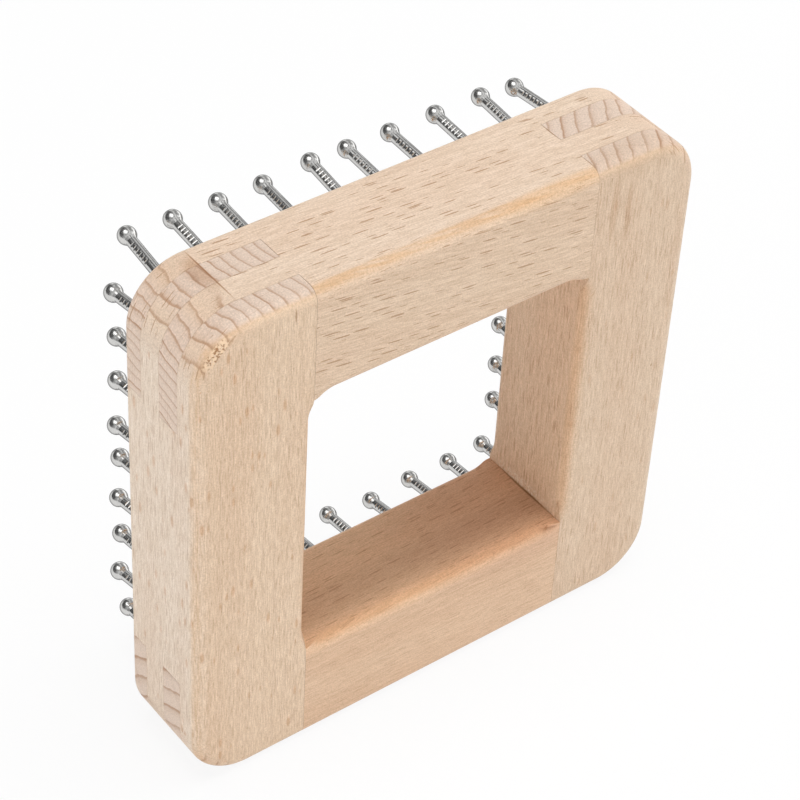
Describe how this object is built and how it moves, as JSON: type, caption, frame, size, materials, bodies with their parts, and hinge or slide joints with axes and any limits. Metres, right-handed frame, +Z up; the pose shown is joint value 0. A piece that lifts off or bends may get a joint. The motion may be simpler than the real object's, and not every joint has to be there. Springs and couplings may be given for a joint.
{
  "type": "knitting board",
  "caption": "Square wooden knitting board: finger-jointed beech frame with a rounded open window and a ring of outward-leaning ball-headed steel pegs for looping yarn.",
  "frame": {"origin": "middle of the flat bottom edge that the board stands on, halfway through the wood", "axes": "+Z up; -Y out of the smooth front face; +Y along the pegs, out of the back face; +X to the right seen from the front"},
  "size_m": [0.1, 0.0377, 0.1],
  "materials": {
    "beech": "fine sanded, unvarnished",
    "peg_steel": "bright nickel-plated steel"
  },
  "bodies": {
    "root": {"left_stile": "beech", "right_stile": "beech", "top_rail": "beech", "bottom_rail": "beech", "peg_right_01": "peg_steel", "peg_right_02": "peg_steel", "peg_right_03": "peg_steel", "peg_right_04": "peg_steel", "peg_right_05": "peg_steel", "peg_right_06": "peg_steel", "peg_right_07": "peg_steel", "peg_right_08": "peg_steel", "peg_top_01": "peg_steel", "peg_top_02": "peg_steel", "peg_top_03": "peg_steel", "peg_top_04": "peg_steel", "peg_top_05": "peg_steel", "peg_top_06": "peg_steel", "peg_top_07": "peg_steel", "peg_top_08": "peg_steel", "peg_top_09": "peg_steel", "peg_top_10": "peg_steel", "peg_left_01": "peg_steel", "peg_left_02": "peg_steel", "peg_left_03": "peg_steel", "peg_left_04": "peg_steel", "peg_left_05": "peg_steel", "peg_left_06": "peg_steel", "peg_left_07": "peg_steel", "peg_left_08": "peg_steel", "peg_bottom_01": "peg_steel", "peg_bottom_02": "peg_steel", "peg_bottom_03": "peg_steel", "peg_bottom_04": "peg_steel", "peg_bottom_05": "peg_steel", "peg_bottom_06": "peg_steel", "peg_bottom_07": "peg_steel", "peg_bottom_08": "peg_steel", "peg_bottom_09": "peg_steel", "peg_bottom_10": "peg_steel"}
  },
  "joints": []
}
